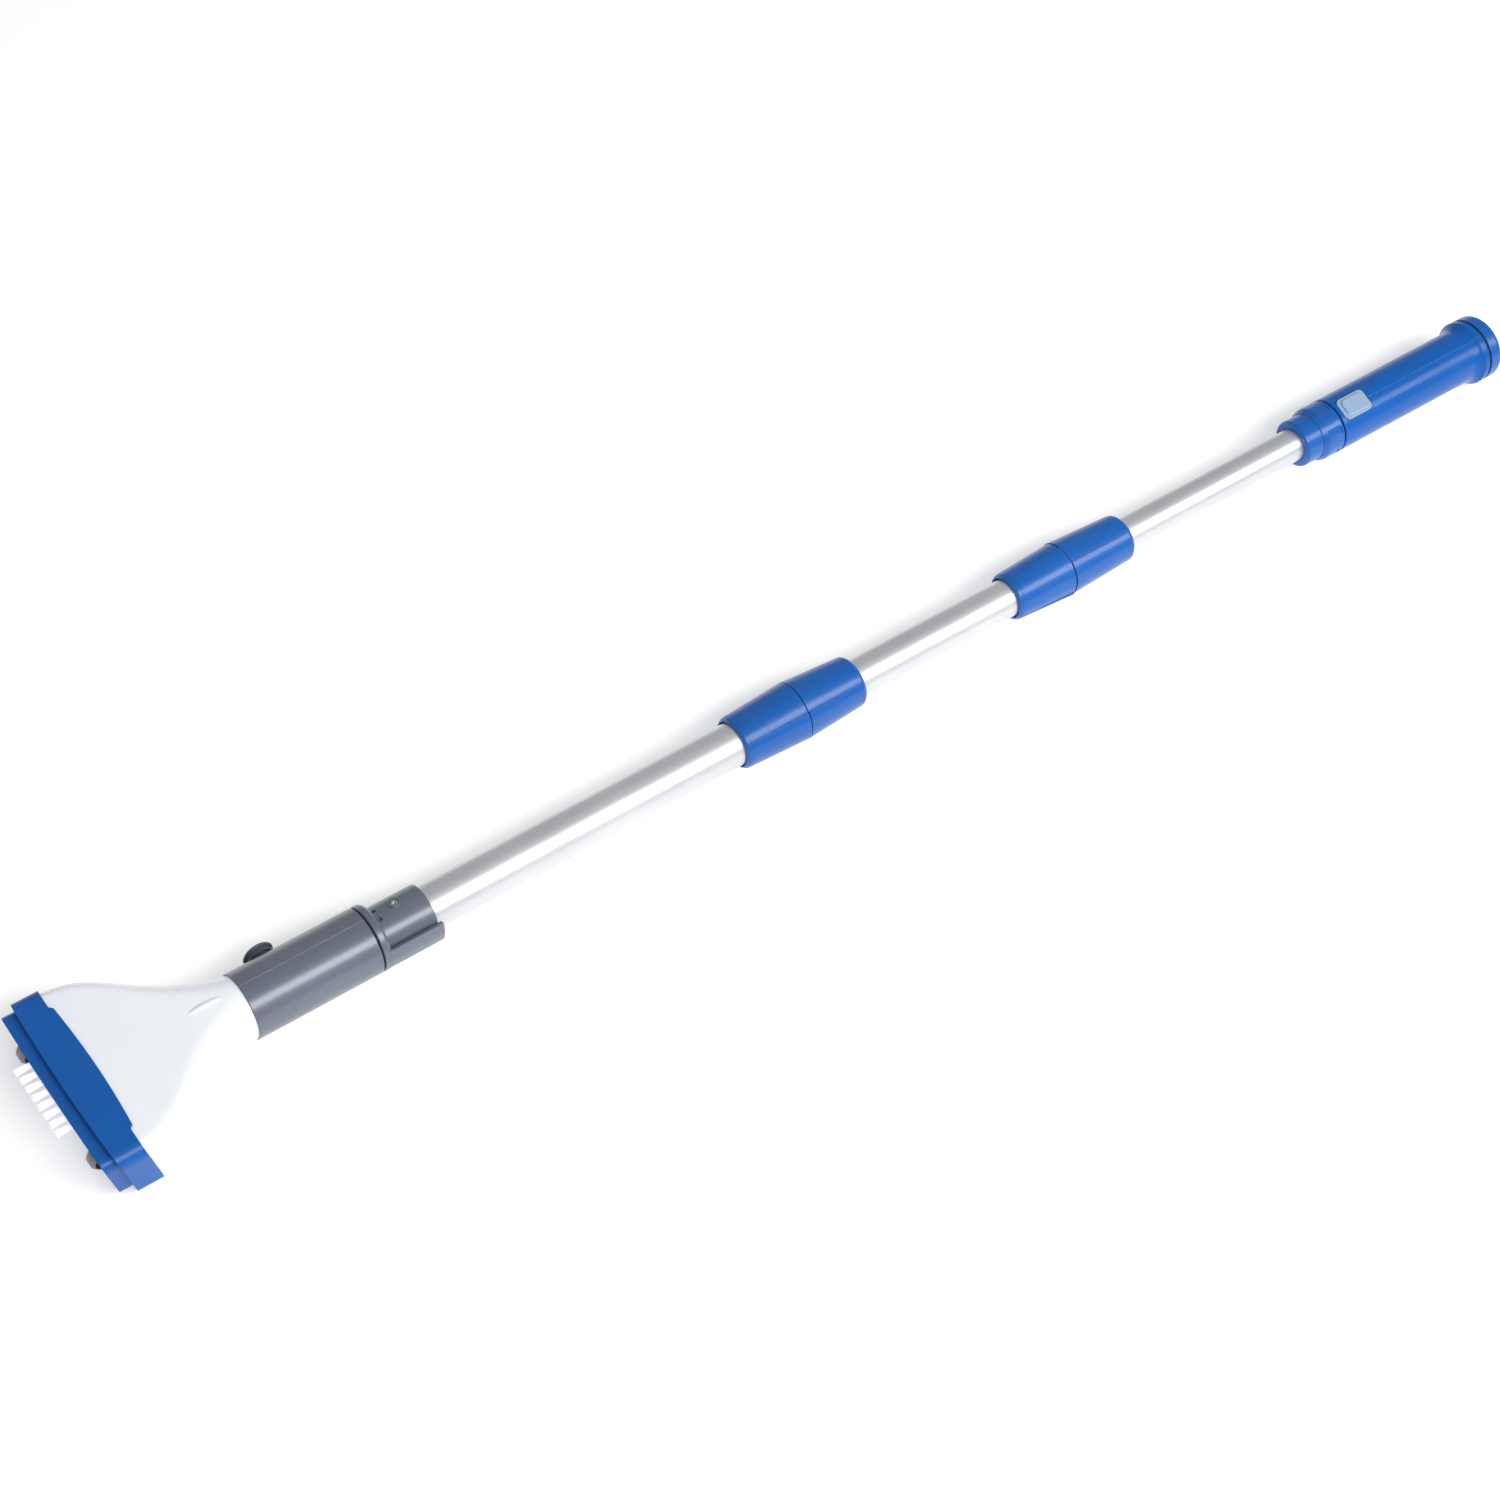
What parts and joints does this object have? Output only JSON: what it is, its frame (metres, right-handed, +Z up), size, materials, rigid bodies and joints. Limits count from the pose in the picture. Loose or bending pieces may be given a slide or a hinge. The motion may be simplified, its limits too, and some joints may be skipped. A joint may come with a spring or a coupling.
{
  "type": "telescopic pool cleaning wand",
  "caption": "Battery pool wand with a wide funnel brush head, grey pump sleeve, telescopic twist-lock pole and blue push-button grip.",
  "frame": {"origin": "on the floor under the middle of the whole length, with the wand lying on its head band and its grip flange", "axes": "+X along the pole from the head to the grip, +Z up, +Y across the head"},
  "size_m": [1.1882, 0.1324, 0.0482],
  "materials": {
    "blue_plastic": "satin moulded blue plastic",
    "bumper_blue": "soft satin blue plastic",
    "white_plastic": "glossy moulded white plastic",
    "grey_plastic": "satin blue-grey plastic",
    "dark_plastic": "dark grey plastic",
    "satin_tube": "satin anodised tube",
    "stainless": "machined stainless",
    "bristle": "white nylon filament",
    "roller_grey": "satin grey plastic",
    "seal_rubber": "black rubber",
    "button_soft": "milky pale blue soft plastic",
    "natural_nylon": "natural nylon",
    "board": "coated circuit board",
    "cell_wrap": "dark cell wrap"
  },
  "bodies": {
    "sleeve_unit": {"sleeve_left": "grey_plastic", "sleeve_right": "grey_plastic", "outlet_spigot": "dark_plastic", "pump_plate": "dark_plastic", "shaft_seal": "seal_rubber", "motor": "stainless", "coupler": "grey_plastic", "coupler_screw": "stainless", "outer_tube": "satin_tube", "lock1_base": "blue_plastic"},
    "head": {"head_shell": "white_plastic", "mouth_frame": "bumper_blue", "brush_strip": "white_plastic", "bristle_tufts": "bristle", "wheel_axles": "stainless", "neck_seal": "seal_rubber", "filter_basket": "natural_nylon"},
    "roller_left": {"wheel_left": "roller_grey"},
    "roller_right": {"wheel_right": "roller_grey"},
    "rotor": {"motor_shaft": "stainless", "impeller": "natural_nylon"},
    "latch": {"latch_collar": "grey_plastic"},
    "lock1_ring": {"lock1_nut": "blue_plastic", "lock1_collet": "natural_nylon"},
    "middle_pole": {"middle_tube": "satin_tube", "middle_bushing": "natural_nylon", "lock2_base": "blue_plastic"},
    "lock2_ring": {"lock2_nut": "blue_plastic", "lock2_collet": "natural_nylon"},
    "inner_pole": {"inner_tube": "satin_tube", "inner_bushing": "natural_nylon", "grip_core": "blue_plastic", "grip_shell_left": "blue_plastic", "grip_shell_right": "blue_plastic", "switch_board": "board", "switch_body": "dark_plastic", "contact_front": "stainless", "battery_carrier": "dark_plastic", "battery_cells": "cell_wrap"},
    "grip_ring": {"grip_collar": "blue_plastic"},
    "push_button": {"button": "button_soft"},
    "cap": {"end_cap": "blue_plastic", "cap_seal": "seal_rubber", "cap_contact": "stainless"}
  },
  "joints": [
    {"name": "head_twist", "type": "hinge", "parent": "sleeve_unit", "child": "head", "pos_m": [-0.4511, 0, 0.0241], "axis": [1, 0, 0], "range_deg": [0, 45]},
    {"name": "roller_left_spin", "type": "hinge", "parent": "head", "child": "roller_left", "pos_m": [-0.5753, 0.0424, 0.0226], "axis": [0, 1, 0], "continuous": true},
    {"name": "roller_right_spin", "type": "hinge", "parent": "head", "child": "roller_right", "pos_m": [-0.5753, -0.0424, 0.0226], "axis": [0, 1, 0], "continuous": true},
    {"name": "impeller_spin", "type": "hinge", "parent": "sleeve_unit", "child": "rotor", "pos_m": [-0.4221, 0, 0.0241], "axis": [1, 0, 0], "continuous": true},
    {"name": "latch_turn", "type": "hinge", "parent": "sleeve_unit", "child": "latch", "pos_m": [-0.3661, 0, 0.0241], "axis": [1, 0, 0], "range_deg": [0, 45]},
    {"name": "lock1_twist", "type": "hinge", "parent": "sleeve_unit", "child": "lock1_ring", "pos_m": [-0.0171, 0, 0.0241], "axis": [1, 0, 0], "range_deg": [0, 90]},
    {"name": "middle_slide", "type": "slide", "parent": "sleeve_unit", "child": "middle_pole", "axis": [1, 0, 0], "range_m": [-0.125, 0.14]},
    {"name": "lock2_twist", "type": "hinge", "parent": "middle_pole", "child": "lock2_ring", "pos_m": [0.2179, 0, 0.0241], "axis": [1, 0, 0], "range_deg": [0, 90]},
    {"name": "inner_slide", "type": "slide", "parent": "middle_pole", "child": "inner_pole", "axis": [1, 0, 0], "range_m": [-0.155, 0.19]},
    {"name": "grip_ring_turn", "type": "hinge", "parent": "inner_pole", "child": "grip_ring", "pos_m": [0.4229, 0, 0.0241], "axis": [1, 0, 0], "range_deg": [0, 60]},
    {"name": "button_press", "type": "slide", "parent": "inner_pole", "child": "push_button", "axis": [0, 0.2756, -0.9613], "range_m": [0, 0.0015], "stiffness_N_per_m": 1500},
    {"name": "cap_turn", "type": "hinge", "parent": "inner_pole", "child": "cap", "pos_m": [0.5829, 0, 0.0241], "axis": [1, 0, 0], "range_deg": [-60, 0]}
  ]
}
